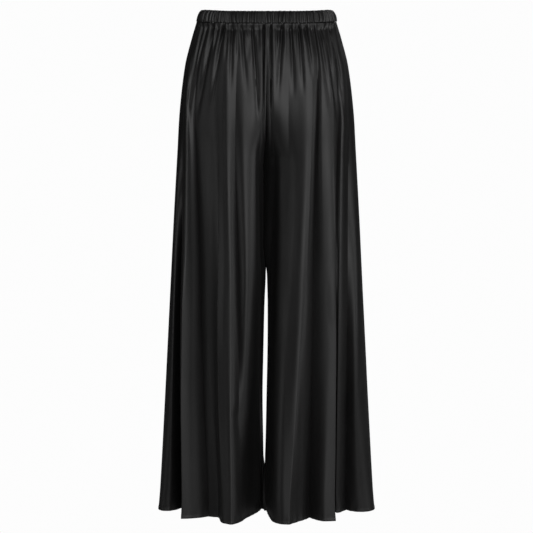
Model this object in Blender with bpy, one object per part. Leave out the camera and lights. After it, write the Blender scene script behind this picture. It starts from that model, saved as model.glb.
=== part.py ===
"""Palazzo pants, worn by nobody: an elastic waistband and four wide, flared panels.

Metres, +Z up.  The origin is the centre of the waistband.  -Y is the garment's back, +Y its front
and +X the wearer's right.  Each panel is a thin wall lofted through level sections.  A section of one
leg is a rounded loop round that leg's own axis; above the crotch the loop's inner wall is missing,
and the two halves meet there in the centre seams.  Places round a leg are bearings in degrees: -90
is the inseam, 0 straight back, 90 the side seam, 180 straight front and 270 the inseam again.
"""

from collections import namedtuple

import bpy
import numpy as np

# ---------------------------------------------------------------- driving dimensions

CLOTH = 0.0015  # one wall of cloth
SEAM_GAP = 0.0003  # between two pieces that are sewn together
BAND_HEIGHT = 0.025
BAND_THICKNESS = 0.003  # folded cloth with the elastic inside
BAND_PUFF = 0.0012  # how far the band swells at mid height
BAND_LEAN = 0.007  # how far the band's top edge leans in
BAND_RUCHE = 0.0005  # half the height of the band's ripples
BAND_COLUMNS = 84
WAIST_Z = -BAND_HEIGHT / 2 - SEAM_GAP  # the panels' top edge
CROTCH_Z = -0.300
CROTCH_Y = 0.004  # the crotch point lies a little in front of the middle
HEM_Z = -1.006
BACK_CLEFT_Z = -0.070  # where the centre back seam starts to sink between the halves
FRONT_CLEFT_Z = -0.130
CLEFT_POWER = 3.0
BACK_DIP = 0.006  # the waist is lower at the centre back and front than at the sides
FRONT_DIP = 0.010
DIP_FADES_OVER = 0.150
GATHER = 0.0018  # half the height of a gather under the band
GATHER_FADES_OVER = 0.070
SQUARENESS = 0.75  # 1 makes a leg's outer side a true ellipse, less a squarer one
VALLEY_STEEPNESS = 1.5  # a valley's slope at its foot, over the mean slope down to it
EDGE_STEEPNESS = 4  # a ridge falling away this many times more steeply on its outer side is an edge
SLIGHT_SLOPE = 0.0003  # metres of depth in a degree: a fold flatter than this is hardly one
COLUMNS_A_FOLD = 2  # mesh columns from one fold line to the next
ARC_STEPS = 60

# Half the garment's width and its depth behind and before the middle.
Section = namedtuple("Section", "z width back front")
SECTIONS = (
    Section(-0.013, 0.1395, 0.098, 0.096),
    Section(-0.050, 0.1505, 0.108, 0.100),
    Section(-0.100, 0.1630, 0.119, 0.104),
    Section(-0.190, 0.1742, 0.128, 0.108),
    Section(-0.270, 0.1792, 0.124, 0.111),
    Section(-0.400, 0.1870, 0.124, 0.114),
    Section(-0.520, 0.1935, 0.127, 0.117),
    Section(-0.620, 0.1990, 0.129, 0.120),
    Section(-0.800, 0.2090, 0.133, 0.125),
    Section(-0.960, 0.2185, 0.137, 0.129),
    Section(-1.006, 0.2225, 0.138, 0.130),
)

# How far each leg's inner wall stands off the middle plane, on its own side of it.
StandOff = namedtuple("StandOff", "z left right")
STAND_OFFS = (
    StandOff(-0.013, 0.0002, 0.0002),
    StandOff(-0.300, 0.0002, 0.0002),
    StandOff(-0.450, 0.0004, 0.0004),
    StandOff(-0.520, 0.0014, 0.0010),
    StandOff(-0.573, 0.0038, 0.0022),
    StandOff(-0.674, 0.0062, 0.0020),
    StandOff(-0.775, 0.0080, 0.0000),
    StandOff(-0.876, 0.0066, -0.0022),
    StandOff(-0.960, 0.0054, -0.0053),
    StandOff(-1.006, 0.0064, -0.0042),
)

# How far a leg's inner corners are rounded, across the garment (x) and front to back (y).
Corner = namedtuple("Corner", "z x y")
LEFT_CORNERS = (
    Corner(-0.013, 0.030, 0.030),
    Corner(-0.100, 0.048, 0.042),
    Corner(-0.200, 0.042, 0.048),
    Corner(-0.300, 0.044, 0.056),
    Corner(-0.450, 0.046, 0.060),
    Corner(-0.600, 0.056, 0.070),
    Corner(-0.800, 0.064, 0.105),
    Corner(-1.006, 0.072, 0.130),
)
RIGHT_CORNERS = (
    Corner(-0.013, 0.030, 0.030),
    Corner(-0.100, 0.070, 0.046),
    Corner(-0.200, 0.078, 0.056),
    Corner(-0.300, 0.080, 0.066),
    Corner(-0.450, 0.066, 0.068),
    Corner(-0.600, 0.044, 0.058),
    Corner(-0.800, 0.036, 0.072),
    Corner(-1.006, 0.042, 0.105),
)
FRONT_CORNERS = (
    Corner(-0.013, 0.030, 0.030),
    Corner(-0.100, 0.045, 0.050),
    Corner(-0.300, 0.055, 0.070),
    Corner(-0.600, 0.065, 0.080),
    Corner(-1.006, 0.074, 0.086),
)
CORNERS = {"left": LEFT_CORNERS, "right": RIGHT_CORNERS}

# The heights of the mesh's rows, close together where the crotch seam turns.
ROWS = (WAIST_Z, -0.030, -0.055, -0.090, -0.130, -0.175, -0.215, -0.250, -0.277, -0.293,
        CROTCH_Z, -0.340, -0.420, -0.520, -0.640, -0.770, -0.895, HEM_Z)

# A fold line runs from the waist to the hem.  The table gives its bearing at the waist, seat, knee and
# hem, and how far the cloth lies in from the section's outline there, towards the other side of the
# garment.  At the waist every line lies on the outline.  The cloth waves smoothly from line to line.
FOLD_HEIGHTS = (WAIST_Z, -0.200, -0.600, HEM_Z)
Fold = namedtuple("Fold", "name waist seat knee hem seat_in knee_in hem_in")
SIDE_SEAM = Fold("side seam", 90, 90, 94, 100, 0.000, 0.000, 0.000)
LEFT_BACK = (
    Fold("inner wall", -32, -33.1, -43.6, -63.8, 0.000, 0.049, 0.053),
    Fold("inner turn", -25, -28.4, -36.7, -41.7, 0.000, 0.010, 0.049),
    Fold("inner ridge", -18, -19.3, -27.5, -31.8, -0.001, 0.003, 0.039),
    Fold("inner valley", -11, -12.1, -19.7, -26.3, 0.003, 0.016, 0.018),
    Fold("main ridge", -4, -4.9, -13, -17.9, -0.001, 0.002, 0.003),
    Fold("main dip", 4, -1, -7, -13.5, 0.001, 0.005, 0.011),
    Fold("main edge", 12, 3.5, -2.2, -10.2, 0.002, 0.006, 0.021),
    Fold("main foot", 21, 12.1, 1.6, -7.3, 0.007, 0.020, 0.063),
    Fold("valley", 32, 27.3, 13.2, 1.6, 0.016, 0.044, 0.070),
    Fold("outer ridge", 44, 34.7, 23.5, 15.9, 0.003, 0.020, 0.046),
    Fold("outer edge", 53, 41.6, 34.3, 25.4, -0.008, -0.001, 0.034),
    Fold("outer foot", 61, 49.9, 38.1, 26.7, 0.014, 0.057, 0.128),
    Fold("side ridge", 70, 76.5, 53.5, 43.3, 0.003, 0.011, 0.074),
    Fold("side valley", 79, 80, 78, 72, 0.003, 0.008, 0.030),
)
RIGHT_BACK = (
    Fold("inner wall", -31, -33.4, -45, -53.2, 0.000, 0.044, 0.066),
    Fold("inner ridge", -24, -26.6, -36.8, -44.8, 0.000, 0.020, 0.028),
    Fold("inner valley", -18, -19.5, -29.6, -39.4, 0.002, 0.014, 0.008),
    Fold("broad ridge", -11, -12.1, -22.4, -32.4, 0.000, 0.006, 0.005),
    Fold("main ridge", -3, -4, -14.9, -24.9, -0.002, 0.000, 0.004),
    Fold("main shoulder", 4, 0.8, -10.8, -19.5, -0.001, 0.004, 0.024),
    Fold("valley", 11, 5.2, -4.1, -9.5, 0.007, 0.027, 0.061),
    Fold("outer ridge", 19, 9.1, 9.5, 3.5, -0.001, 0.011, 0.025),
    Fold("outer edge", 30, 19.4, 17.7, 12.9, -0.003, 0.006, 0.023),
    Fold("outer foot", 38, 25.8, 19, 13.1, 0.006, 0.010, 0.107),
    Fold("thin ridge", 47, 32.5, 20.8, 15, -0.005, 0.003, 0.090),
    Fold("side foot", 56, 41.1, 31.1, 24.8, 0.007, 0.016, 0.109),
    Fold("side ridge", 67, 74.4, 47.6, 39.1, -0.004, -0.008, 0.072),
    Fold("side valley", 79, 80, 78, 72, 0.003, 0.008, 0.030),
)
LEFT_FRONT = (
    Fold("side valley", 103, 104, 110, 119, 0.002, 0.007, 0.014),
    Fold("side ridge", 114, 116, 123, 131, 0.001, 0.003, 0.006),
    Fold("outer valley", 126, 129, 137, 144, 0.005, 0.026, 0.056),
    Fold("outer edge", 135, 138, 147, 154, 0.001, 0.006, 0.018),
    Fold("outer ridge", 146, 150, 161, 169, 0.001, 0.002, 0.008),
    Fold("valley", 158, 163, 175, 185, 0.006, 0.024, 0.052),
    Fold("main ridge", 170, 176, 190, 200, 0.000, 0.002, 0.004),
    Fold("inner valley", 183, 189, 205, 214, 0.004, 0.012, 0.024),
    Fold("inner ridge", 195, 199, 219, 228, 0.000, 0.002, 0.006),
    Fold("inner wall", 206, 209, 236, 242, 0.000, 0.000, 0.000),
)
RIGHT_FRONT = (
    Fold("side valley", 102, 103, 109, 117, 0.002, 0.006, 0.012),
    Fold("side ridge", 112, 113, 119, 127, 0.001, 0.003, 0.008),
    Fold("outer valley", 122, 124, 131, 139, 0.006, 0.028, 0.060),
    Fold("outer ridge", 136, 140, 149, 156, 0.000, 0.004, 0.010),
    Fold("valley", 152, 156, 165, 172, 0.005, 0.020, 0.044),
    Fold("main ridge", 163, 168, 180, 189, 0.000, 0.000, 0.002),
    Fold("main edge", 174, 179, 191, 200, 0.002, 0.006, 0.012),
    Fold("inner valley", 186, 191, 206, 216, 0.006, 0.018, 0.032),
    Fold("inner ridge", 196, 200, 221, 231, 0.000, 0.001, 0.004),
    Fold("inner wall", 206, 210, 238, 244, 0.000, 0.000, 0.000),
)

WARM_BLACK = (0.013, 0.012, 0.012, 1.0)
BAND_BLACK = (0.011, 0.010, 0.011, 1.0)
ROUGHNESS = 0.45

# ---------------------------------------------------------------- the garment's surface


def smooth(z, heights, values):
    """A curve through values at falling heights, without corners, read at one height."""
    drops = [-h for h in heights]
    last = len(drops) - 1

    def slope(i):
        before, after = max(i - 1, 0), min(i + 1, last)
        return (values[after] - values[before]) / (drops[after] - drops[before])

    drop = min(max(-z, drops[0]), drops[-1])
    i = max(j for j in range(last) if drops[j] <= drop)
    run = drops[i + 1] - drops[i]
    t = (drop - drops[i]) / run
    level = (1 + 2 * t) * (1 - t) ** 2 * values[i] + t * t * (3 - 2 * t) * values[i + 1]
    return level + run * (t * (1 - t) ** 2 * slope(i) - t * t * (1 - t) * slope(i + 1))


def read_table(table, z):
    """Every column of a table of rows at falling heights, read at one height."""
    heights = [row.z for row in table]
    columns = range(1, len(table[0]))
    return type(table[0])(z, *(smooth(z, heights, [row[i] for row in table]) for i in columns))


def cleft_share(z, start):
    """1 down to the cleft's start, then falling to 0 at the crotch, where the seam reaches the middle."""
    share = min(max((start - z) / (start - CROTCH_Z), 0.0), 1.0)
    return (1 - share**CLEFT_POWER) ** 0.5


def quarter(width, off, corner, depth, seam):
    """x and distance from the middle: from the seam along the inner wall, round its corner, to the side."""
    corner_y = min(corner.y, depth - seam)
    turn = np.linspace(0, np.pi / 2, ARC_STEPS)
    squared_sin = np.sin(turn[1:]) ** SQUARENESS
    squared_cos = np.abs(np.cos(turn[1:])) ** SQUARENESS
    wall = np.linspace(seam, depth - corner_y, ARC_STEPS // 2, endpoint=False)
    reach = width - off - corner.x
    rounded = off + corner.x * (1 - np.cos(turn))
    across = (np.full_like(wall, off), rounded, off + corner.x + reach * squared_sin)
    away = (wall, depth - corner_y + corner_y * np.sin(turn), depth * squared_cos)
    return np.stack([np.concatenate(across), np.concatenate(away)], axis=1)


def outline(z, side):
    """The unfolded section of one half from back seam to front seam: bearings, and x and y at each."""
    s = read_table(SECTIONS, z)
    corners, off = CORNERS[side], getattr(read_table(STAND_OFFS, z), side)
    back_seam = max((s.back + CROTCH_Y) * cleft_share(z, BACK_CLEFT_Z), SEAM_GAP / 2) - CROTCH_Y
    front_seam = max((s.front - CROTCH_Y) * cleft_share(z, FRONT_CLEFT_Z), SEAM_GAP / 2) + CROTCH_Y
    back = quarter(s.width, off, read_table(corners, z), s.back, back_seam) * (1, -1)
    front = quarter(s.width, off, read_table(FRONT_CORNERS, z), s.front, front_seam)[::-1]
    points = np.concatenate([back, front[1:]])
    axis = (off + s.width) / 2
    return np.degrees(np.unwrap(np.arctan2(points[:, 0] - axis, -points[:, 1]))), points


def fold_lines(back, front, z, ends):
    """Bearing of each fold line from seam to seam at this height, and how far in the cloth lies there."""
    lines = [*back, SIDE_SEAM, *front]
    bearings = [smooth(z, FOLD_HEIGHTS, (f.waist, f.seat, f.knee, f.hem)) for f in lines]
    depths = [smooth(z, FOLD_HEIGHTS, (0.0, f.seat_in, f.knee_in, f.hem_in)) for f in lines]
    return np.array([ends[0], *bearings, ends[1]]), np.array([0.0, *depths, 0.0])


def ease(t):
    t = np.clip(t, 0.0, 1.0)
    return t * t * (3 - 2 * t)


def draped(at, places, depths):
    """Depths between the fold lines: round over each ridge, crisp at an edge, steep down into each valley."""
    rise = np.diff(depths) / np.diff(places)
    before, after = np.append(0.0, rise), np.append(rise, 0.0)
    same_way = before * after > 0
    between = np.where(same_way, 2 * before * after / np.where(same_way, before + after, 1.0), 0.0)
    # How far each line is a valley or an edge, from 0 to 1, so that its shape changes slowly downwards.
    valley = ease(before / SLIGHT_SLOPE) * ease(-after / SLIGHT_SLOPE)
    steepness = np.maximum(after, SLIGHT_SLOPE) / EDGE_STEEPNESS
    edge = ease(after / (8 * SLIGHT_SLOPE)) * ease(2 - 2 * np.abs(before) / steepness)
    edge[0] = 0.0  # the centre seam stays flat
    arriving = between + valley * (VALLEY_STEEPNESS * before - between) + edge * (before - between)
    leaving = between + valley * (VALLEY_STEEPNESS * after - between) + edge * (after - between)
    i = np.clip(np.searchsorted(places, at, side="right") - 1, 0, len(places) - 2)
    run = places[i + 1] - places[i]
    t = (at - places[i]) / run
    level = (1 + 2 * t) * (1 - t) ** 2 * depths[i] + t * t * (3 - 2 * t) * depths[i + 1]
    return level + run * (t * (1 - t) ** 2 * leaving[i] - t * t * (1 - t) * arriving[i + 1])


def dip(y, z):
    """How far the waist's centre back and front hang below its sides, fading out downwards."""
    fade = np.clip(1 + (z - WAIST_Z) / DIP_FADES_OVER, 0.0, 1.0)
    top = SECTIONS[0]
    share = np.where(y < 0, BACK_DIP * (y / top.back) ** 2, FRONT_DIP * (y / top.front) ** 2)
    return fade * np.minimum(share, np.where(y < 0, BACK_DIP, FRONT_DIP))


def leg_row(back, front, side, z):
    """One row of points round a half, from the back seam to the front seam."""
    bearings, points = outline(z, side)
    places, depths = fold_lines(back, front, z, (bearings[0], bearings[-1]))
    steps = np.arange(COLUMNS_A_FOLD * (len(places) - 1) + 1)
    at = np.interp(steps / COLUMNS_A_FOLD, np.arange(len(places)), places)
    x = np.interp(at, bearings, points[:, 0])
    y = np.interp(at, bearings, points[:, 1])
    gather = GATHER * np.clip(1 + (z - WAIST_Z) / GATHER_FADES_OVER, 0.0, 1.0) * (steps % 2)
    inwards = draped(at, places, depths) + gather * np.abs(np.cos(np.radians(at)))
    inwards[[0, -1]] = 0.0
    level = z - dip(y, z)
    y = y + inwards * np.where(at < places[len(back) + 1], 1, -1)
    x = x - gather * np.abs(np.sin(np.radians(at))) * (x > points[:, 0].max() / 2)
    return np.stack([x, y, level], axis=1)


def normals_of(grid):
    """Outward unit normals of a grid of rows from top to bottom and columns from back seam to front seam."""
    along = np.gradient(grid, axis=1)
    down = np.gradient(grid, axis=0)
    normals = np.cross(down, along)
    # A centre seam's rim never leans over the middle plane, and the inseam's lies square to it.
    for column in (0, -1):
        normals[:, column, 0] = np.minimum(normals[:, column, 0], -1e-9)
        normals[np.array(ROWS) <= CROTCH_Z, column] = (-1, 0, 0)
    return normals / np.linalg.norm(normals, axis=2, keepdims=True)


# ---------------------------------------------------------------- solids


def add_solid(name, vertices, faces, colour):
    mesh = bpy.data.meshes.new(name)
    mesh.from_pydata([tuple(v) for v in vertices], [], faces)
    mesh.polygons.foreach_set("use_smooth", [True] * len(faces))
    material = bpy.data.materials.new(name + "_cloth")
    material.use_nodes = True
    shader = material.node_tree.nodes["Principled BSDF"]
    shader.inputs["Base Color"].default_value = colour
    shader.inputs["Roughness"].default_value = ROUGHNESS
    mesh.materials.append(material)
    bpy.context.scene.collection.objects.link(bpy.data.objects.new(name, mesh))


def panel(name, outer, inner):
    """A closed wall between two grids of points, with a rim on all four sides."""
    rows, columns = outer.shape[:2]
    shift = rows * columns

    def corner(r, c):
        return r * columns + c

    faces = []
    for r in range(rows - 1):
        for c in range(columns - 1):
            a, b, d, e = corner(r, c), corner(r + 1, c), corner(r + 1, c + 1), corner(r, c + 1)
            faces.append((a, b, d, e))
            faces.append((a + shift, e + shift, d + shift, b + shift))
    rim = [corner(0, c) for c in range(columns)]
    rim += [corner(r, columns - 1) for r in range(1, rows)]
    rim += [corner(rows - 1, c) for c in range(columns - 2, -1, -1)]
    rim += [corner(r, 0) for r in range(rows - 2, 0, -1)]
    # Two rims that face each other across a seam are split along the same diagonal, so they never cross.
    for a, b in zip(rim, rim[1:] + rim[:1]):
        if a // columns <= b // columns:
            faces += [(a, b, b + shift), (a, b + shift, a + shift)]
        else:
            faces += [(a, b, a + shift), (b, b + shift, a + shift)]
    add_solid(name, np.concatenate([outer.reshape(-1, 3), inner.reshape(-1, 3)]), faces, WARM_BLACK)


def leg(side, back, front):
    """The back and front panel of one half.  The left half is laid out as a right half and turned over."""
    grid = np.array([leg_row(back, front, side, z) for z in ROWS])
    normals = normals_of(grid)
    seam = COLUMNS_A_FOLD * (len(back) + 1)
    forwards = grid[:, seam + 1] - grid[:, seam - 1]
    forwards /= np.linalg.norm(forwards, axis=1, keepdims=True)
    halves = (("back", slice(0, seam + 1), -1, -1), ("front", slice(seam, None), 0, 1))
    for part, columns, edge, way in halves:
        outer = grid[:, columns].copy()
        outer[:, edge] += way * SEAM_GAP / 2 * forwards
        inner = outer - CLOTH * normals[:, columns]
        if side == "left":
            outer, inner = (half[:, ::-1] * (-1, 1, 1) for half in (outer, inner))
        panel(part + "_" + side, outer, inner)


def waistband():
    """A flat tube of folded cloth, rippled by the elastic, closed in a ring."""
    right, left = outline(WAIST_Z, "right")[1], outline(WAIST_Z, "left")[1]
    loop = np.concatenate([right, left[::-1] * (-1, 1)])
    run = np.concatenate([[0], np.cumsum(np.linalg.norm(np.diff(loop, axis=0), axis=1))])
    at = np.arange(BAND_COLUMNS) / BAND_COLUMNS * run[-1]
    ring = np.stack([np.interp(at, run, loop[:, 0]), np.interp(at, run, loop[:, 1])], axis=1)
    along = np.roll(ring, -1, axis=0) - np.roll(ring, 1, axis=0)
    away = np.stack([along[:, 1], -along[:, 0]], axis=1) / np.linalg.norm(along, axis=1, keepdims=True)
    half_wall = BAND_THICKNESS / 2
    ripple = BAND_RUCHE * (1 - 2 * (np.arange(BAND_COLUMNS) % 2))
    # How far out of the panels' middle a point lies, its share of the height, and of the ripple.
    profile = ((half_wall, 0.0, 0.4), (half_wall + BAND_PUFF, 0.5, 1.0), (half_wall, 0.92, 0.6),
               (0.0, 1.0, 0.0),
               (-half_wall, 0.92, 0.6), (-half_wall + BAND_PUFF, 0.5, 1.0), (-half_wall, 0.0, 0.4))
    vertices = []
    for out, share, ripples in profile:
        offset = out - CLOTH / 2 - BAND_LEAN * share + ripple * ripples
        flat = ring + away * offset[:, None]
        z = BAND_HEIGHT * (share - 0.5) - dip(ring[:, 1], WAIST_Z)
        vertices.append(np.column_stack([flat, z]))
    around, levels = BAND_COLUMNS, len(profile)
    faces = []
    for k in range(levels):
        for c in range(around):
            after, above = (c + 1) % around, (k + 1) % levels
            faces.append((k * around + c, k * around + after, above * around + after, above * around + c))
    add_solid("waistband", np.concatenate(vertices), faces, BAND_BLACK)


# ---------------------------------------------------------------- the garment

for old in list(bpy.data.objects):
    bpy.data.objects.remove(old, do_unlink=True)

waistband()
leg("left", LEFT_BACK, LEFT_FRONT)
leg("right", RIGHT_BACK, RIGHT_FRONT)
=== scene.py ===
"""Looks of the palazzo pants: gathered satin knit panels, a ruched waistband, turned hems and stitching.

Metres, +Z up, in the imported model's frame: the origin is the centre of the waistband, -Y is the
garment's back and +X the wearer's right.  The panels lie on the same level sections and fold lines as
the CAD panels.  Bearings run round a leg in degrees: -90 is the inseam, 0 straight back, 90 the side
seam, 180 straight front and 270 the inseam again.
"""

from collections import namedtuple

import bpy
import numpy as np
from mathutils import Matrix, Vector


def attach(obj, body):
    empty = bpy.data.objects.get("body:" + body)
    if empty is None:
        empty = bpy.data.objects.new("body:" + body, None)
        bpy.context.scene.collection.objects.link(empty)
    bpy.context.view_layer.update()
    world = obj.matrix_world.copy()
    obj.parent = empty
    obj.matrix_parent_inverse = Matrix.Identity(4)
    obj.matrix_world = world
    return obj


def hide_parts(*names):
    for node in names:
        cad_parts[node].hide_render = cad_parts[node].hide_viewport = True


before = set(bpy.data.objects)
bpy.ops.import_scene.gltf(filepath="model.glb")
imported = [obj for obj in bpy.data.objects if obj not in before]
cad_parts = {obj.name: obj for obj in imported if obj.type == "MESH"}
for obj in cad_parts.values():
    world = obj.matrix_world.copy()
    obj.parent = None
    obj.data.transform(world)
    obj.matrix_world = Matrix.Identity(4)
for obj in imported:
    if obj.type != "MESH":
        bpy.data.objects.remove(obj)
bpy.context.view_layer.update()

# ---------------------------------------------------------------- the cut, as in the CAD model

SEAM_GAP = 0.0003
BAND_HEIGHT = 0.025
WAIST_Z = -BAND_HEIGHT / 2 - SEAM_GAP
CROTCH_Z = -0.300
CROTCH_Y = 0.004
HEM_Z = -1.006
BACK_CLEFT_Z = -0.070
FRONT_CLEFT_Z = -0.130
CLEFT_POWER = 3.0
BACK_DIP = 0.006
FRONT_DIP = 0.010
DIP_FADES_OVER = 0.150
WALL_BEND = 0.006
SQUARENESS = 0.75  # 1 makes a leg's outer side a true ellipse, less a squarer one
BAND_LEAN = 0.007
ARC_STEPS = 160
VALLEY_STEEPNESS = 1.5  # a valley's slope at its foot, over the mean slope down to it
EDGE_STEEPNESS = 4  # a ridge falling away this many times more steeply on its outer side is an edge
SLIGHT_SLOPE = 0.0003  # metres of depth in a degree: a fold flatter than this is hardly one

# Half the garment's width and its depth behind and before the middle.
Section = namedtuple("Section", "z width back front")
SECTIONS = (
    Section(-0.013, 0.1395, 0.098, 0.096),
    Section(-0.050, 0.1505, 0.108, 0.100),
    Section(-0.100, 0.1630, 0.119, 0.104),
    Section(-0.190, 0.1742, 0.128, 0.108),
    Section(-0.270, 0.1792, 0.124, 0.111),
    Section(-0.400, 0.1870, 0.124, 0.114),
    Section(-0.520, 0.1935, 0.127, 0.117),
    Section(-0.620, 0.1990, 0.129, 0.120),
    Section(-0.800, 0.2090, 0.133, 0.125),
    Section(-0.960, 0.2185, 0.137, 0.129),
    Section(-1.006, 0.2225, 0.138, 0.130),
)

# How far each leg's inner wall stands off the middle plane, on its own side of it.
StandOff = namedtuple("StandOff", "z left right")
STAND_OFFS = (
    StandOff(-0.013, 0.0002, 0.0002),
    StandOff(-0.300, 0.0002, 0.0002),
    StandOff(-0.450, 0.0004, 0.0004),
    StandOff(-0.520, 0.0014, 0.0010),
    StandOff(-0.573, 0.0038, 0.0022),
    StandOff(-0.674, 0.0062, 0.0020),
    StandOff(-0.775, 0.0080, 0.0000),
    StandOff(-0.876, 0.0066, -0.0022),
    StandOff(-0.960, 0.0054, -0.0053),
    StandOff(-1.006, 0.0064, -0.0042),
)

# How far a leg's inner corners are rounded, across the garment (x) and front to back (y).
Corner = namedtuple("Corner", "z x y")
LEFT_CORNERS = (
    Corner(-0.013, 0.030, 0.030),
    Corner(-0.100, 0.048, 0.042),
    Corner(-0.200, 0.042, 0.048),
    Corner(-0.300, 0.044, 0.056),
    Corner(-0.450, 0.046, 0.060),
    Corner(-0.600, 0.056, 0.070),
    Corner(-0.800, 0.064, 0.105),
    Corner(-1.006, 0.072, 0.130),
)
RIGHT_CORNERS = (
    Corner(-0.013, 0.030, 0.030),
    Corner(-0.100, 0.070, 0.046),
    Corner(-0.200, 0.078, 0.056),
    Corner(-0.300, 0.080, 0.066),
    Corner(-0.450, 0.066, 0.068),
    Corner(-0.600, 0.044, 0.058),
    Corner(-0.800, 0.036, 0.072),
    Corner(-1.006, 0.042, 0.105),
)
FRONT_CORNERS = (
    Corner(-0.013, 0.030, 0.030),
    Corner(-0.100, 0.045, 0.050),
    Corner(-0.300, 0.055, 0.070),
    Corner(-0.600, 0.065, 0.080),
    Corner(-1.006, 0.074, 0.086),
)
CORNERS = {"left": LEFT_CORNERS, "right": RIGHT_CORNERS}

# A fold line's bearing at the waist, seat, knee and hem, and how far the cloth lies in from the
# section's outline there, towards the other side of the garment.
FOLD_HEIGHTS = (WAIST_Z, -0.200, -0.600, HEM_Z)
Fold = namedtuple("Fold", "name waist seat knee hem seat_in knee_in hem_in")
SIDE_SEAM = Fold("side seam", 90, 90, 94, 100, 0.000, 0.000, 0.000)
LEFT_BACK = (
    Fold("inner wall", -32, -33.1, -43.6, -63.8, 0.000, 0.049, 0.053),
    Fold("inner turn", -25, -28.4, -36.7, -41.7, 0.000, 0.010, 0.049),
    Fold("inner ridge", -18, -19.3, -27.5, -31.8, -0.001, 0.003, 0.039),
    Fold("inner valley", -11, -12.1, -19.7, -26.3, 0.003, 0.016, 0.018),
    Fold("main ridge", -4, -4.9, -13, -17.9, -0.001, 0.002, 0.003),
    Fold("main dip", 4, -1, -7, -13.5, 0.001, 0.005, 0.011),
    Fold("main edge", 12, 3.5, -2.2, -10.2, 0.002, 0.006, 0.021),
    Fold("main foot", 21, 12.1, 1.6, -7.3, 0.007, 0.020, 0.063),
    Fold("valley", 32, 27.3, 13.2, 1.6, 0.016, 0.044, 0.070),
    Fold("outer ridge", 44, 34.7, 23.5, 15.9, 0.003, 0.020, 0.046),
    Fold("outer edge", 53, 41.6, 34.3, 25.4, -0.008, -0.001, 0.034),
    Fold("outer foot", 61, 49.9, 38.1, 26.7, 0.014, 0.057, 0.128),
    Fold("side ridge", 70, 76.5, 53.5, 43.3, 0.003, 0.011, 0.074),
    Fold("side valley", 79, 80, 78, 72, 0.003, 0.008, 0.030),
)
RIGHT_BACK = (
    Fold("inner wall", -31, -33.4, -45, -53.2, 0.000, 0.044, 0.066),
    Fold("inner ridge", -24, -26.6, -36.8, -44.8, 0.000, 0.020, 0.028),
    Fold("inner valley", -18, -19.5, -29.6, -39.4, 0.002, 0.014, 0.008),
    Fold("broad ridge", -11, -12.1, -22.4, -32.4, 0.000, 0.006, 0.005),
    Fold("main ridge", -3, -4, -14.9, -24.9, -0.002, 0.000, 0.004),
    Fold("main shoulder", 4, 0.8, -10.8, -19.5, -0.001, 0.004, 0.024),
    Fold("valley", 11, 5.2, -4.1, -9.5, 0.007, 0.027, 0.061),
    Fold("outer ridge", 19, 9.1, 9.5, 3.5, -0.001, 0.011, 0.025),
    Fold("outer edge", 30, 19.4, 17.7, 12.9, -0.003, 0.006, 0.023),
    Fold("outer foot", 38, 25.8, 19, 13.1, 0.006, 0.010, 0.107),
    Fold("thin ridge", 47, 32.5, 20.8, 15, -0.005, 0.003, 0.090),
    Fold("side foot", 56, 41.1, 31.1, 24.8, 0.007, 0.016, 0.109),
    Fold("side ridge", 67, 74.4, 47.6, 39.1, -0.004, -0.008, 0.072),
    Fold("side valley", 79, 80, 78, 72, 0.003, 0.008, 0.030),
)
LEFT_FRONT = (
    Fold("side valley", 103, 104, 110, 119, 0.002, 0.007, 0.014),
    Fold("side ridge", 114, 116, 123, 131, 0.001, 0.003, 0.006),
    Fold("outer valley", 126, 129, 137, 144, 0.005, 0.026, 0.056),
    Fold("outer edge", 135, 138, 147, 154, 0.001, 0.006, 0.018),
    Fold("outer ridge", 146, 150, 161, 169, 0.001, 0.002, 0.008),
    Fold("valley", 158, 163, 175, 185, 0.006, 0.024, 0.052),
    Fold("main ridge", 170, 176, 190, 200, 0.000, 0.002, 0.004),
    Fold("inner valley", 183, 189, 205, 214, 0.004, 0.012, 0.024),
    Fold("inner ridge", 195, 199, 219, 228, 0.000, 0.002, 0.006),
    Fold("inner wall", 206, 209, 236, 242, 0.000, 0.000, 0.000),
)
RIGHT_FRONT = (
    Fold("side valley", 102, 103, 109, 117, 0.002, 0.006, 0.012),
    Fold("side ridge", 112, 113, 119, 127, 0.001, 0.003, 0.008),
    Fold("outer valley", 122, 124, 131, 139, 0.006, 0.028, 0.060),
    Fold("outer ridge", 136, 140, 149, 156, 0.000, 0.004, 0.010),
    Fold("valley", 152, 156, 165, 172, 0.005, 0.020, 0.044),
    Fold("main ridge", 163, 168, 180, 189, 0.000, 0.000, 0.002),
    Fold("main edge", 174, 179, 191, 200, 0.002, 0.006, 0.012),
    Fold("inner valley", 186, 191, 206, 216, 0.006, 0.018, 0.032),
    Fold("inner ridge", 196, 200, 221, 231, 0.000, 0.001, 0.004),
    Fold("inner wall", 206, 210, 238, 244, 0.000, 0.000, 0.000),
)

# ---------------------------------------------------------------- the fine surface

SHELL = 0.0008  # the knit as it shows
COLUMNS_A_FOLD = 12
FINE_ROW = 0.0022  # row spacing through the gathers and at the hem
LONG_ROW = 0.0068
GATHERS_END_Z = -0.110  # the rows are fine down to here
HEM_TURN = 0.0065  # height of the turned hem
HEM_LIFT = 0.0005  # how much the turned cloth stands out
STITCH_UP = 0.0052  # the hem stitching's height above the edge
STITCH_PITCH = 0.0032
STITCH_LENGTH = 0.0024
STITCH_RADIUS = 0.00024

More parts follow.
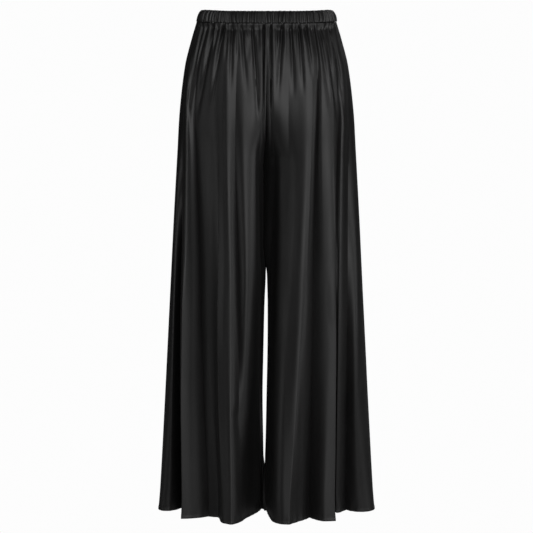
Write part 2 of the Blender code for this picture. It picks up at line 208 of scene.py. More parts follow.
# A gather runs down from the band.  Its places are distances from the middle plane at its top and its
# end, beside the height where it ends, its half width and its depth.
Gather = namedtuple("Gather", "top_x end_x end_z width depth")
LEFT_GATHERS = (
    Gather(0.0052, 0.0046, -0.290, 0.0017, 0.0105),
    Gather(0.0205, 0.0215, -0.082, 0.0017, 0.0035),
    Gather(0.0275, 0.0150, -0.235, 0.0028, 0.0078),
    Gather(0.0390, 0.0375, -0.100, 0.0018, 0.0038),
    Gather(0.0495, 0.0375, -0.165, 0.0031, 0.0073),
    Gather(0.0570, 0.0560, -0.085, 0.0017, 0.0035),
    Gather(0.0670, 0.0700, -0.170, 0.0031, 0.0070),
    Gather(0.0765, 0.0800, -0.095, 0.0020, 0.0049),
    Gather(0.0845, 0.1150, -0.220, 0.0039, 0.0090),
    Gather(0.0975, 0.1060, -0.095, 0.0018, 0.0038),
    Gather(0.1060, 0.1410, -0.225, 0.0046, 0.0115),
    Gather(0.1190, 0.1550, -0.195, 0.0029, 0.0070),
    Gather(0.1290, 0.1650, -0.245, 0.0033, 0.0073),
)
RIGHT_GATHERS = (
    Gather(0.0088, 0.0080, -0.290, 0.0018, 0.0105),
    Gather(0.0205, 0.0190, -0.105, 0.0018, 0.0042),
    Gather(0.0305, 0.0215, -0.175, 0.0031, 0.0080),
    Gather(0.0400, 0.0405, -0.110, 0.0018, 0.0042),
    Gather(0.0480, 0.0530, -0.170, 0.0031, 0.0080),
    Gather(0.0560, 0.0575, -0.090, 0.0017, 0.0035),
    Gather(0.0635, 0.0720, -0.165, 0.0029, 0.0073),
    Gather(0.0775, 0.0915, -0.140, 0.0028, 0.0062),
    Gather(0.0930, 0.1040, -0.130, 0.0024, 0.0059),
    Gather(0.1030, 0.1270, -0.205, 0.0031, 0.0070),
    Gather(0.1110, 0.1180, -0.090, 0.0017, 0.0038),
    Gather(0.1190, 0.1420, -0.235, 0.0042, 0.0104),
    Gather(0.1310, 0.1580, -0.235, 0.0037, 0.0080),
)

# Between those placed gathers, others are scattered at an uneven pitch: their possible lengths and depth.
Scatter = namedtuple("Scatter", "pitch lengths depth")
BACK_PUCKERS = Scatter(0.0060, (0.018, 0.028), 0.0032)
BACK_TUCKS = Scatter(0.0100, (0.045, 0.060, 0.080), 0.0058)
FRONT_TUCKS = Scatter(0.0125, (0.045, 0.080, 0.130, 0.190), 0.0040)
FRONT_PUCKERS = Scatter(0.0075, (0.018, 0.030, 0.045), 0.0028)
HALF_WAIST = 0.139

GATHER_WIDENS = 0.5  # how much wider a gather is at its end, as a share of its width
GATHER_FADE = 1.2  # 1 fades a gather evenly downwards, more fades it sooner
HELD_SHARE = 0.12  # of a gather's depth, at the band's lower edge
HELD_OVER = 0.012  # height over which the band lets the gathers go
SEAM_FADE = 0.004  # how near a centre seam the cloth lies flat
# The side seam lies in a shallow channel, with a groove along its middle: depths and half widths.
CHANNEL_DEPTH, CHANNEL_WIDTH = 0.0004, 0.0022
GROOVE_DEPTH, GROOVE_WIDTH = 0.0006, 0.0007
# The hem stitching pulls a line into the cloth: its depth and half width.
PULL_DEPTH, PULL_WIDTH = 0.0004, 0.0009
TURN_EDGE = 0.0012  # height over which the turned hem's cut edge shows through
HEM_PUCKER = 0.0026  # mean width of one pucker, over 2 pi
HEM_PUCKER_DEPTH = 0.0007
HEM_PUCKER_REACH = 0.011


def smooth(z, heights, values):
    """A curve through values at falling heights, without corners, read at one height."""
    drops = [-h for h in heights]
    last = len(drops) - 1

    def slope(i):
        before, after = max(i - 1, 0), min(i + 1, last)
        return (values[after] - values[before]) / (drops[after] - drops[before])

    drop = min(max(-z, drops[0]), drops[-1])
    i = max(j for j in range(last) if drops[j] <= drop)
    run = drops[i + 1] - drops[i]
    t = (drop - drops[i]) / run
    level = (1 + 2 * t) * (1 - t) ** 2 * values[i] + t * t * (3 - 2 * t) * values[i + 1]
    return level + run * (t * (1 - t) ** 2 * slope(i) - t * t * (1 - t) * slope(i + 1))


def read_table(table, z):
    """Every column of a table of rows at falling heights, read at one height."""
    heights = [row.z for row in table]
    columns = range(1, len(table[0]))
    return type(table[0])(z, *(smooth(z, heights, [row[i] for row in table]) for i in columns))


def cleft_share(z, start):
    """1 down to the cleft's start, then falling to 0 at the crotch, where the seam reaches the middle."""
    share = min(max((start - z) / (start - CROTCH_Z), 0.0), 1.0)
    return (1 - share**CLEFT_POWER) ** 0.5


def quarter(width, off, corner, depth, seam):
    """x and distance from the middle, from the seam along the inner wall and round its corner to the side."""
    corner_y = min(corner.y, depth - seam)
    turn = np.linspace(0, np.pi / 2, ARC_STEPS)
    squared_sin = np.sin(turn[1:]) ** SQUARENESS
    squared_cos = np.abs(np.cos(turn[1:])) ** SQUARENESS
    wall = np.linspace(seam, depth - corner_y, ARC_STEPS // 2, endpoint=False)
    reach = width - off - corner.x
    across = (
        np.full_like(wall, off),
        off + corner.x * (1 - np.cos(turn)),
        off + corner.x + reach * squared_sin,
    )
    away = (wall, depth - corner_y + corner_y * np.sin(turn), depth * squared_cos)
    return np.stack([np.concatenate(across), np.concatenate(away)], axis=1)


def outline(z, side):
    """The unfolded section of one half from back seam to front seam: bearings, and x and y at each."""
    s = read_table(SECTIONS, z)
    corners, off = CORNERS[side], getattr(read_table(STAND_OFFS, z), side)
    back_seam = max((s.back + CROTCH_Y) * cleft_share(z, BACK_CLEFT_Z), SEAM_GAP / 2) - CROTCH_Y
    front_seam = max((s.front - CROTCH_Y) * cleft_share(z, FRONT_CLEFT_Z), SEAM_GAP / 2) + CROTCH_Y
    back = quarter(s.width, off, read_table(corners, z), s.back, back_seam) * (1, -1)
    front = quarter(s.width, off, read_table(FRONT_CORNERS, z), s.front, front_seam)[::-1]
    points = np.concatenate([back, front[1:]])
    axis = (off + s.width) / 2
    return np.degrees(np.unwrap(np.arctan2(points[:, 0] - axis, -points[:, 1]))), points


def ease(t):
    t = np.clip(t, 0.0, 1.0)
    return t * t * (3 - 2 * t)


def draped(at, places, depths):
    """Depths between the fold lines: round over each ridge, crisp at an edge, steep down into each valley."""
    rise = np.diff(depths) / np.diff(places)
    before, after = np.append(0.0, rise), np.append(rise, 0.0)
    same_way = before * after > 0
    between = np.where(same_way, 2 * before * after / np.where(same_way, before + after, 1.0), 0.0)
    # How far each line is a valley or an edge, from 0 to 1, so that its shape changes slowly downwards.
    valley = ease(before / SLIGHT_SLOPE) * ease(-after / SLIGHT_SLOPE)
    steepness = np.maximum(after, SLIGHT_SLOPE) / EDGE_STEEPNESS
    edge = ease(after / (8 * SLIGHT_SLOPE)) * ease(2 - 2 * np.abs(before) / steepness)
    edge[0] = 0.0  # the centre seam stays flat
    arriving = between + valley * (VALLEY_STEEPNESS * before - between) + edge * (before - between)
    leaving = between + valley * (VALLEY_STEEPNESS * after - between) + edge * (after - between)
    i = np.clip(np.searchsorted(places, at, side="right") - 1, 0, len(places) - 2)
    run = places[i + 1] - places[i]
    t = (at - places[i]) / run
    level = (1 + 2 * t) * (1 - t) ** 2 * depths[i] + t * t * (3 - 2 * t) * depths[i + 1]
    return level + run * (t * (1 - t) ** 2 * leaving[i] - t * t * (1 - t) * arriving[i + 1])


def dip(y, z):
    """How far the waist's centre back and front hang below its sides, fading out downwards."""
    fade = np.clip(1 + (z - WAIST_Z) / DIP_FADES_OVER, 0.0, 1.0)
    top = SECTIONS[0]
    share = np.where(y < 0, BACK_DIP * (y / top.back) ** 2, FRONT_DIP * (y / top.front) ** 2)
    return fade * np.minimum(share, np.where(y < 0, BACK_DIP, FRONT_DIP))


def wall_bend(y, z):
    """How far right both inner walls curve where the legs touch, at the thighs and near the hems."""
    touching = ease((-0.20 - z) / 0.10) * ease((z + 0.525) / 0.07)
    touching += 0.5 * ease((-0.90 - z) / 0.03) * ease((z + 1.003) / 0.02)
    return WALL_BEND * touching * np.sin(np.pi * np.clip((y - CROTCH_Y) / 0.120, -1.0, 1.0))


def leg_row(back, front, side, z, steps):
    """One row of points round a half, back seam to front seam, at places counted in fold lines."""
    lines = [*back, SIDE_SEAM, *front]
    bearings, points = outline(z, side)
    places = [smooth(z, FOLD_HEIGHTS, (f.waist, f.seat, f.knee, f.hem)) for f in lines]
    depths = [smooth(z, FOLD_HEIGHTS, (0.0, f.seat_in, f.knee_in, f.hem_in)) for f in lines]
    places = np.array([bearings[0], *places, bearings[-1]])
    at = np.interp(steps, np.arange(len(places)), places)
    x = np.interp(at, bearings, points[:, 0])
    y = np.interp(at, bearings, points[:, 1])
    way = 1 if side == "right" else -1
    x = x + way * wall_bend(y, z) * np.exp(-((x / 0.030) ** 2))
    inwards = draped(at, places, np.array([0.0, *depths, 0.0]))
    level = z - dip(y, z)
    y = y + inwards * np.where(steps < len(back) + 1, 1, -1)
    return np.stack([x, y, level], axis=1)


def normals_of(grid):
    """Outward unit normals of a grid of rows from top to bottom and columns from back seam to front seam."""
    normals = np.cross(np.gradient(grid, axis=0), np.gradient(grid, axis=1))
    return normals / np.linalg.norm(normals, axis=2, keepdims=True)


def row_heights():
    fine = np.arange(WAIST_Z, GATHERS_END_Z, -FINE_ROW)
    long = np.linspace(fine[-1], HEM_Z + 3 * HEM_TURN, round((fine[-1] - HEM_Z) / LONG_ROW))[1:]
    hem = np.linspace(long[-1], HEM_Z, 14)[1:]
    return np.concatenate([fine, long, hem])


def arcs_of(grid):
    """Distance of each point from the back seam along its row."""
    steps = np.linalg.norm(np.diff(grid, axis=1), axis=2)
    return np.concatenate([np.zeros((len(grid), 1)), np.cumsum(steps, axis=1)], axis=1)


def gather_lift(gather, z, across, arcs):
    """A gather's valley over a panel, given each point's distance from the middle and along its row."""
    lift = np.zeros_like(arcs)
    for row in np.nonzero(z > gather.end_z)[0]:
        t = (WAIST_Z - z[row]) / (WAIST_Z - gather.end_z)
        centre = np.interp(gather.top_x + (gather.end_x - gather.top_x) * t, across[row], arcs[row])
        width = gather.width * (1 + GATHER_WIDENS * t)
        held = HELD_SHARE + (1 - HELD_SHARE) * ease((WAIST_Z - z[row]) / HELD_OVER)
        valley = np.exp(-(((arcs[row] - centre) / width) ** 2))
        lift[row] = -gather.depth * held * (1 - t) ** GATHER_FADE * valley
    return lift


def hem_puckers(arcs, up):
    """Small uneven puckers where the hem's stitching draws the cloth in."""
    pitch_drift = 2 * np.sin(arcs / 0.019)
    size = 0.6 + 0.4 * np.sin(arcs / 0.031 + 1)
    wave = np.sin(arcs / HEM_PUCKER + pitch_drift) * size
    return HEM_PUCKER_DEPTH * wave * np.exp(-(((up - STITCH_UP) / HEM_PUCKER_REACH) ** 2))


def scattered_gathers(draw, scatter):
    """Gathers of uneven spacing, length and depth from the middle to the side."""
    found = []
    at = draw.uniform(0.3, 0.7) * scatter.pitch
    width = 0.5 * scatter.depth + 0.0008
    while at < HALF_WAIST - 0.003:
        length = draw.choice(scatter.lengths) * draw.uniform(0.8, 1.25)
        depth = scatter.depth * draw.uniform(0.6, 1.3)
        spread = 1 + 1.3 * length * draw.uniform(0.6, 1.4)
        found.append(Gather(at, at * spread, WAIST_Z - length, width, depth))
        at += scatter.pitch * draw.uniform(0.65, 1.35)
    return found


# ---------------------------------------------------------------- materials


# A colour Mix node's sockets share their names with its number and vector ones, so they go by place.
MIX_A, MIX_B, MIX_RESULT = 6, 7, 2
GLOSS_SPREAD = 0.05


def node(tree, kind, **inputs):
    """A new node; each input is named with _ for a space."""
    made = tree.nodes.new(kind)
    for name, value in inputs.items():
        made.inputs[name.replace("_", " ")].default_value = value
    return made


def knit_material(name, colour, roughness, wale, grain):
    """Satin knit: near black, with fine upright wales, a faint leathery grain and uneven gloss."""
    material = bpy.data.materials.new(name)
    material.use_nodes = True
    tree = material.node_tree
    link = tree.links.new
    shader = tree.nodes["Principled BSDF"]
    for socket, value in (("Specular IOR Level", 0.90), ("Sheen Weight", 0.02), ("Sheen Roughness", 0.45)):
        shader.inputs[socket].default_value = value
    place = node(tree, "ShaderNodeTexCoord")

    def noise(scale, upright, detail):
        stretch = (1.0, 1.0, upright)
        mapping = node(tree, "ShaderNodeMapping", Scale=stretch)
        link(place.outputs["Object"], mapping.inputs["Vector"])
        made = node(tree, "ShaderNodeTexNoise", Scale=scale, Detail=detail)
        link(mapping.outputs["Vector"], made.inputs["Vector"])
        return made

    def ramp(source, low, high):
        made = node(tree, "ShaderNodeMapRange", From_Min=0.3, From_Max=0.7, To_Min=low, To_Max=high)
        link(source, made.inputs["Value"])
        return made.outputs["Result"]

    streaks = noise(60.0, 0.12, 3.0)
    mottle = noise(28.0, 0.5, 2.0)
    shade = node(tree, "ShaderNodeMix")
    shade.data_type = "RGBA"
    link(ramp(mottle.outputs["Fac"], 0.0, 1.0), shade.inputs["Factor"])
    shade.inputs[MIX_A].default_value = (*[c * 0.8 for c in colour], 1)
    shade.inputs[MIX_B].default_value = (*[c * 1.2 for c in colour], 1)
    link(shade.outputs[MIX_RESULT], shader.inputs["Base Color"])
    gloss = ramp(streaks.outputs["Fac"], roughness - GLOSS_SPREAD, roughness + GLOSS_SPREAD)
    link(gloss, shader.inputs["Roughness"])

    wales = noise(1.0 / wale, 0.35, 1.0)
    fine = node(tree, "ShaderNodeBump", Strength=0.25, Distance=0.0001)
    link(wales.outputs["Fac"], fine.inputs["Height"])
    coarse = node(tree, "ShaderNodeBump", Strength=0.35, Distance=grain)
    link(streaks.outputs["Fac"], coarse.inputs["Height"])
    link(fine.outputs["Normal"], coarse.inputs["Normal"])
    link(coarse.outputs["Normal"], shader.inputs["Normal"])
    return material


def thread_material():
    """Black sewing thread with a fine uneven twist."""
    material = bpy.data.materials.new("black_thread")
    material.use_nodes = True
    tree = material.node_tree
    shader = tree.nodes["Principled BSDF"]
    shader.inputs["Sheen Weight"].default_value = 0.1
    place = node(tree, "ShaderNodeTexCoord")
    twist = node(tree, "ShaderNodeTexNoise", Scale=2500.0)
    tree.links.new(place.outputs["Object"], twist.inputs["Vector"])
    shade = node(tree, "ShaderNodeValToRGB")
    shade.color_ramp.elements[0].color = (0.010, 0.010, 0.010, 1)
    shade.color_ramp.elements[1].color = (0.030, 0.029, 0.029, 1)
    tree.links.new(twist.outputs["Fac"], shade.inputs["Fac"])
    tree.links.new(shade.outputs["Color"], shader.inputs["Base Color"])
    shader.inputs["Roughness"].default_value = 0.5
    return material


BLACK = (0.0056, 0.0053, 0.0054)
WALE = 0.0009
PANEL_KNIT = knit_material("panel_knit", BLACK, 0.50, WALE, 0.0006)
BAND_KNIT = knit_material("band_knit", BLACK, 0.48, WALE, 0.0004)
THREAD = thread_material()


# ---------------------------------------------------------------- meshes


TIGHT_TURN = 0.5  # radians from one column to the next
CREASES_START_Z = -0.12

# A stitch is a thread of six sides: rings along it, with their radius and height over the cloth, both in
# thread radii.
Ring = namedtuple("Ring", "along radius height")
STITCH_RINGS = (
    Ring(0.00, 0.25, -0.60),
    Ring(0.18, 0.85, 0.35),
    Ring(0.50, 1.00, 0.75),
    Ring(0.82, 0.85, 0.35),
    Ring(1.00, 0.25, -0.60),
)
STITCH_SIDES = 6


def add_mesh(name, vertices, faces, material):
    """A smooth-shaded object of these vertices and faces."""
    mesh = bpy.data.meshes.new(name)
    mesh.from_pydata(vertices.tolist(), [], faces.tolist())
    mesh.polygons.foreach_set("use_smooth", [True] * len(faces))
    mesh.materials.append(material)
    made = bpy.data.objects.new(name, mesh)
    bpy.context.scene.collection.objects.link(made)
    return made


def crease(mesh, grid):
    """Marks sharp the valleys that turn too tightly to be smooth, below the gathers."""
    step = np.diff(grid[:, :, :2], axis=1)
    before, after = step[:, :-1], step[:, 1:]
    sideways = before[:, :, 0] * after[:, :, 1] - before[:, :, 1] * after[:, :, 0]
    turn = np.arctan2(sideways, (before * after).sum(axis=2))
    rows, columns = grid.shape[:2]
    tight = np.zeros((2, rows, columns), bool)  # the outer face's points, then the inner face's
    tight[0, :, 1:-1] = (turn < -TIGHT_TURN) & (grid[:, 1:-1, 2] < CREASES_START_Z)
    tight = tight.reshape(-1)
    ends = np.empty(2 * len(mesh.edges), np.int32)
    mesh.edges.foreach_get("vertices", ends)
    ends = ends.reshape(-1, 2)
    down = np.abs(ends[:, 0] - ends[:, 1]) == columns
    mesh.edges.foreach_set("use_edge_sharp", down & tight[ends].all(axis=1))


def shell_faces(rows, columns):
    """Quads of an outer and an inner grid with rims on all four sides, one closed surface."""
    index = np.arange(rows * columns).reshape(rows, columns)
    a, b, c, d = index[:-1, :-1], index[1:, :-1], index[1:, 1:], index[:-1, 1:]
    outer = np.stack([a, b, c, d], axis=-1).reshape(-1, 4)
    inner = outer[:, ::-1] + index.size
    rim = np.concatenate([index[0, :-1], index[:-1, -1], index[-1, :0:-1], index[:0:-1, 0]])
    after = np.roll(rim, -1)
    edge = np.stack([rim, after, after + index.size, rim + index.size], axis=1)
    return np.concatenate([outer, inner, edge])


def stitches(name, path, normals):
    """A row of short threads lying on the cloth along a path."""
    run = np.concatenate([[0], np.cumsum(np.linalg.norm(np.diff(path, axis=0), axis=1))])
    starts = np.arange(STITCH_PITCH / 2, run[-1] - STITCH_LENGTH, STITCH_PITCH)
    spin = np.arange(STITCH_SIDES)[:, None] / STITCH_SIDES * 2 * np.pi
    vertices, faces = [], []
    for start in starts:
        at = start + STITCH_LENGTH * np.array([ring.along for ring in STITCH_RINGS])
        centre = np.stack([np.interp(at, run, path[:, i]) for i in range(3)], axis=1)
        up = np.stack([np.interp(at, run, normals[:, i]) for i in range(3)], axis=1)
        along = centre[-1] - centre[0]
        along /= np.linalg.norm(along)
        across = np.cross(along, up)
        base = len(vertices) * STITCH_SIDES
        for i, ring in enumerate(STITCH_RINGS):
            middle = centre[i] + up[i] * STITCH_RADIUS * ring.height
            around = np.cos(spin) * across[i] + np.sin(spin) * up[i]
            vertices.append(middle + STITCH_RADIUS * ring.radius * around)
        for low in range(base, base + (len(STITCH_RINGS) - 1) * STITCH_SIDES, STITCH_SIDES):
            high = low + STITCH_SIDES
            for k in range(STITCH_SIDES):
                after = (k + 1) % STITCH_SIDES
                faces.append((low + k, low + after, high + after, high + k))
    return add_mesh(name, np.concatenate(vertices), np.array(faces), THREAD)


def unit(vectors):
    return vectors / np.linalg.norm(vectors, axis=-1, keepdims=True)


ALLOWANCE_TURN = 0.012  # half the height over which the seam allowance changes sides at the crotch


def allowance(edge, z, part):
    """The left half's seam allowance, two columns: it lies under the right half above the crotch, and under
    its own other panel below."""
    turn = ease((z - CROTCH_Z + ALLOWANCE_TURN) / (2 * ALLOWANCE_TURN))[:, None]
    y_way = 1 if part == "back" else -1
    across = unit(np.array((-1, 0, 0)) * turn + np.array((0, y_way, 0)) * (1 - turn))
    under = unit(np.array((0, y_way, 0)) * turn + np.array((1, 0, 0)) * (1 - turn))
    reach = (0.2 + 0.8 * np.clip(np.abs(z - CROTCH_Z) / 0.03, 0, 1))[:, None]
    near = edge + 0.0015 * under + 0.0020 * reach * across
    far = edge + 0.0018 * under + 0.0050 * reach * across
    return near, far


def panel_lift(grid, z, seam, gathers, draw):
    """How far the fine surface stands out from the folded grid: hem, gathers and side seam."""
    arcs = arcs_of(grid)
    up = (z - HEM_Z)[:, None]
    # The turned hem stands out, with a pulled line where it is stitched.
    pull = PULL_DEPTH * np.exp(-(((up - STITCH_UP) / PULL_WIDTH) ** 2))
    lift = HEM_LIFT * ease((HEM_TURN - up) / TURN_EDGE) - pull
    lift = lift + hem_puckers(arcs, up)
    puckers = scattered_gathers(draw, BACK_PUCKERS)
    tucks = scattered_gathers(draw, BACK_TUCKS)
    for gather in [*gathers, *tucks, *puckers]:
        lift[:, :seam] += gather_lift(gather, z, grid[:, :seam, 0], arcs[:, :seam])
    tucks = scattered_gathers(draw, FRONT_TUCKS)
    puckers = scattered_gathers(draw, FRONT_PUCKERS)
    turned = slice(None, seam, -1)
    for gather in [*tucks, *puckers]:
        lift[:, turned] += gather_lift(gather, z, grid[:, turned, 0], arcs[:, turned])
    near = np.abs(arcs - arcs[:, seam : seam + 1])
    channel = CHANNEL_DEPTH * np.exp(-((near / CHANNEL_WIDTH) ** 2))
    groove = GROOVE_DEPTH * np.exp(-((near / GROOVE_WIDTH) ** 2))
    lift -= channel + groove
    # At the centre seams nothing lifts, so that the two halves meet.
    return lift * ease(np.minimum(arcs, arcs[:, -1:] - arcs) / SEAM_FADE)


def with_allowance(out, inside, z, part):
    """A left panel's outer and inner grids with its seam allowance added, turned over to the left."""
    centre_seam = out[:, 0 if part == "back" else -1]
    strip = np.stack(allowance(centre_seam, z, part), axis=1)
    deeper = strip + SHELL * unit(strip[:, 0] - centre_seam)[:, None]
    if part == "back":
        out = np.concatenate([strip[:, ::-1], out], axis=1)
        inside = np.concatenate([deeper[:, ::-1], inside], axis=1)
    else:
        out = np.concatenate([out, strip], axis=1)
        inside = np.concatenate([inside, deeper], axis=1)
    return turned_over(out), turned_over(inside)


def turned_over(points):
    return points[..., ::-1, :] * (-1, 1, 1)


def panel_pair(side, back, front, gathers, seed):
    """The back and front panel of one half, laid out as a right half; the left one is turned over."""
    seam = COLUMNS_A_FOLD * (len(back) + 1)
    steps = np.arange(COLUMNS_A_FOLD * (len(back) + len(front) + 2) + 1) / COLUMNS_A_FOLD
    z = row_heights()
    grid = np.array([leg_row(back, front, side, level, steps) for level in z])
    lift = panel_lift(grid, z, seam, gathers, np.random.default_rng(seed))
    outer = grid + lift[:, :, None] * normals_of(grid)
    normals = normals_of(outer)
    thick = SHELL * (1 + ease((HEM_TURN - (z - HEM_Z)) / TURN_EDGE))[:, None, None]
    stitched = np.argmin(np.abs(z - HEM_Z - STITCH_UP))
    made = {}
    for part, columns in (("back", slice(0, seam + 1)), ("front", slice(seam, None))):
        out, facing = outer[:, columns].copy(), normals[:, columns]
        edge, way = (-1, -1) if part == "back" else (0, 1)
        out[:, edge] += way * SEAM_GAP / 3 * unit(grid[:, seam + 1] - grid[:, seam - 1])
        inside = out - thick * facing
        thread = out[stitched], facing[stitched]
        if side == "left":
            out, inside = with_allowance(out, inside, z, part)
            thread = [turned_over(line) for line in thread]
        vertices = np.concatenate([out.reshape(-1, 3), inside.reshape(-1, 3)])
        name = f"{part}_{side}"
        made[part] = add_mesh(f"panel_{name}", vertices, shell_faces(*out.shape[:2]), PANEL_KNIT)
        crease(made[part].data, out)
        made[part + "_stitches"] = stitches(f"hem_stitches_{name}", *thread)
    return made


# ---------------------------------------------------------------- the waistband

BAND_RIPPLE = 0.0068  # mean width of one ruche
BAND_RIPPLE_DEPTH = 0.0062
BAND_SAMPLES = 8  # columns a ruche
BAND_ROUNDING = 40  # passes that take the corners off the waist's outline
BAND_ROLL = 0.0014  # how far the top edge rolls in
ROLL_STARTS = 0.66  # share of the band's height where it starts
BAND_FALL = 0.0022  # how far the top edge falls at the sides
BAND_HALF_WALL = 0.0015
BAND_LEVELS = 15
CAP_STARTS = 0.93  # share of the band's height where its top edge rounds over


def band_profile():
    """The band's section: its outer face going up, over the rounded top edge, and its inner face going down.
    Each point has its share of the height and its distance out from the middle of the wall."""
    shares = np.linspace(0, 1, BAND_LEVELS) * CAP_STARTS
    belly = [0.0013 * np.sin(np.pi * min(share * 1.06, 1.0)) ** 0.8 for share in shares]
    outer = [(share, BAND_HALF_WALL + out) for share, out in zip(shares, belly)]
    turn = np.linspace(0.35, np.pi - 0.35, 7)
    cap = [(CAP_STARTS + (1 - CAP_STARTS) * np.sin(a), BAND_HALF_WALL * np.cos(a) + 0.0001) for a in turn]
    inner = [(share, -BAND_HALF_WALL - 0.0004 * np.sin(np.pi * share)) for share in shares[::-1]]
    return [*outer, *cap, *inner]


def waist_ring():
    """The waist's outline with its corners taken off, in even steps, and the direction out at each point."""
    right, left = outline(WAIST_Z, "right")[1], outline(WAIST_Z, "left")[1]
    loop = np.concatenate([right, left[::-1] * (-1, 1)])
    run = np.concatenate([[0], np.cumsum(np.linalg.norm(np.diff(loop, axis=0), axis=1))])
    ruches = round(run[-1] / BAND_RIPPLE)
    count = ruches * BAND_SAMPLES
    at = np.arange(count) / count * run[-1]
    ring = np.stack([np.interp(at, run, loop[:, 0]), np.interp(at, run, loop[:, 1])], axis=1)
    for _ in range(BAND_ROUNDING):
        ring = ring / 2 + (np.roll(ring, 1, axis=0) + np.roll(ring, -1, axis=0)) / 4
    along = np.roll(ring, -1, axis=0) - np.roll(ring, 1, axis=0)
    away = np.stack([along[:, 1], -along[:, 0]], axis=1) / np.linalg.norm(along, axis=1, keepdims=True)
    return ruches, ring, away


def waistband():
    """A ring of ruches, each with its own width, height and lean."""
    draw = np.random.default_rng(41)
    ruches, ring, away = waist_ring()
    count = len(ring)
    widths = draw.uniform(0.6, 1.4, ruches)
    edges = np.concatenate([[0], np.cumsum(widths)]) / widths.sum() * count
    heights = draw.uniform(0.40, 1.25, ruches)
    leans = draw.uniform(-0.35, 0.35, ruches)
    lean_here = np.interp(np.arange(count), (edges[:-1] + edges[1:]) / 2, leans)
    at_the_sides = np.clip(np.abs(ring[:, 0]) / ring[:, 0].max(), 0, 1) ** 24
    vertices = []
    for share, out in band_profile():
        place = np.arange(count) + BAND_SAMPLES * 0.9 * (share - 0.5) * lean_here
        place = np.mod(place, count)
        i = np.clip(np.searchsorted(edges, place, side="right") - 1, 0, ruches - 1)
        t = (place - edges[i]) / (edges[i + 1] - edges[i])
        bump = np.abs(np.sin(np.pi * t)) ** 0.7 * heights[i]
        strength = (0.45 + 0.55 * np.sin(np.pi * np.clip(share, 0, 1))) * (1 if out > 0 else 0.5)
        roll = BAND_ROLL * np.clip((share - ROLL_STARTS) / (1 - ROLL_STARTS), 0, 1) ** 1.8
        ripple = np.sign(out) * BAND_RIPPLE_DEPTH * strength * (bump - 0.9)
        offset = out - SHELL / 2 - (BAND_LEAN * share + roll) + ripple
        flat = ring + away * offset[:, None]
        top = 0.0006 * (bump - 0.6) * ease((share - 0.8) / 0.2)
        level = BAND_HEIGHT * (share - 0.5) - 0.0014 * share - BAND_FALL * share * at_the_sides
        vertices.append(np.column_stack([flat, level + top - dip(ring[:, 1], WAIST_Z)]))
    rows = len(vertices)
    index = np.arange(rows * count).reshape(rows, count)
    after, above = np.roll(index, -1, axis=1), np.roll(index, -1, axis=0)
    faces = np.stack([index, after, np.roll(above, -1, axis=1), above], axis=-1).reshape(-1, 4)
    return add_mesh("ruched_waistband", np.concatenate(vertices), faces, BAND_KNIT)


band = waistband()
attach(band, "root")
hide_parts("waistband")

for side, back, front, gathers, seed in (
    ("left", LEFT_BACK, LEFT_FRONT, LEFT_GATHERS, 7),
    ("right", RIGHT_BACK, RIGHT_FRONT, RIGHT_GATHERS, 19),
):
    made = panel_pair(side, back, front, gathers, seed)
    for part in ("back", "front"):
        panel, thread = made[part], made[part + "_stitches"]
        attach(panel, "root")
        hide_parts(f"{part}_{side}")
        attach(thread, "root")

# ---------------------------------------------------------------- studio


def area_light(name, place, target, size, power):
    """A rectangular light at a place, aimed at a target."""
    data = bpy.data.lights.new(name, "AREA")
    data.shape = "RECTANGLE"
    data.size, data.size_y = size
    data.energy = power
    light = bpy.data.objects.new(name, data)
    light.location = place
    aim = np.array(target) - np.array(place)
    light.rotation_euler = Vector(aim).to_track_quat("-Z", "Y").to_euler()
    bpy.context.scene.collection.objects.link(light)


def seen_and_lit(tree, lit, seen, output):
    """Links one shader to what is seen straight on and another to what the light meets."""
    path = tree.nodes.new("ShaderNodeLightPath")
    mix = tree.nodes.new("ShaderNodeMixShader")
    tree.links.new(path.outputs["Is Camera Ray"], mix.inputs["Fac"])
    tree.links.new(lit, mix.inputs[1])
    tree.links.new(seen, mix.inputs[2])
    tree.links.new(mix.outputs["Shader"], tree.nodes[output].inputs["Surface"])


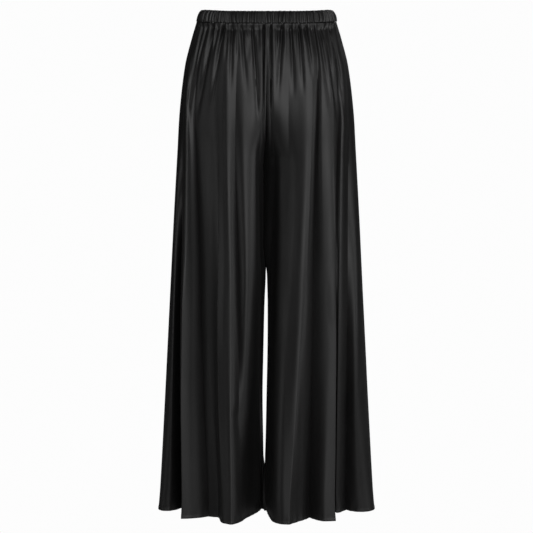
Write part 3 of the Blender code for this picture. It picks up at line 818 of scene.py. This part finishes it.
area_light("key", (0.80, -3.5, 0.20), (0, 0, -0.40), (2.4, 3.3), 38)
area_light("high", (0.40, -2.5, 1.70), (0, 0, -0.05), (1.8, 0.7), 8)
area_light("side_right", (3.0, -1.1, -0.20), (0, 0, -0.45), (1.4, 2.4), 13)
area_light("side_left", (-3.0, -1.1, -0.20), (0, 0, -0.45), (1.4, 2.4), 7)
area_light("front_key", (0.60, 2.6, 1.90), (0, 0, -0.40), (2.4, 1.2), 64)

PALE = 0.98  # how light the background and the floor show
FAINT = 0.013  # how much light comes from all round
WHITE = (1, 1, 1, 1)

world = bpy.data.worlds.new("studio")
bpy.context.scene.world = world
world.use_nodes = True
tree = world.node_tree
sky = tree.nodes["Background"]
sky.inputs["Color"].default_value = WHITE
sky.inputs["Strength"].default_value = FAINT
white = node(tree, "ShaderNodeBackground", Color=WHITE, Strength=PALE)
seen_and_lit(tree, sky.outputs["Background"], white.outputs["Background"], "World Output")

FLOOR_Z = -1.35
FLOOR_HALF = 9
corners = [(x * FLOOR_HALF, y * FLOOR_HALF, FLOOR_Z) for x, y in ((-1, -1), (1, -1), (1, 1), (-1, 1))]
pale_floor = bpy.data.materials.new("pale_floor")
floor = add_mesh("floor", np.array(corners), np.array([(0, 1, 2, 3)]), pale_floor)
pale_floor.use_nodes = True
tree = pale_floor.node_tree
glow = node(tree, "ShaderNodeEmission", Strength=PALE)
matt = tree.nodes["Principled BSDF"]
matt.inputs["Base Color"].default_value = (0.2, 0.2, 0.2, 1)
seen_and_lit(tree, matt.outputs["BSDF"], glow.outputs["Emission"], "Material Output")

CAMERA_TILT = 5.634  # degrees down

camera_data = bpy.data.cameras.new("camera")
camera_data.lens = 120.4
camera_data.sensor_width = 36.0
camera = bpy.data.objects.new("camera", camera_data)
camera.location = (0.0, -3.6, -0.15)
camera.rotation_euler = (np.radians(90 - CAMERA_TILT), 0, 0)
bpy.context.scene.collection.objects.link(camera)
bpy.context.scene.camera = camera
bpy.context.scene.view_settings.view_transform = "Standard"
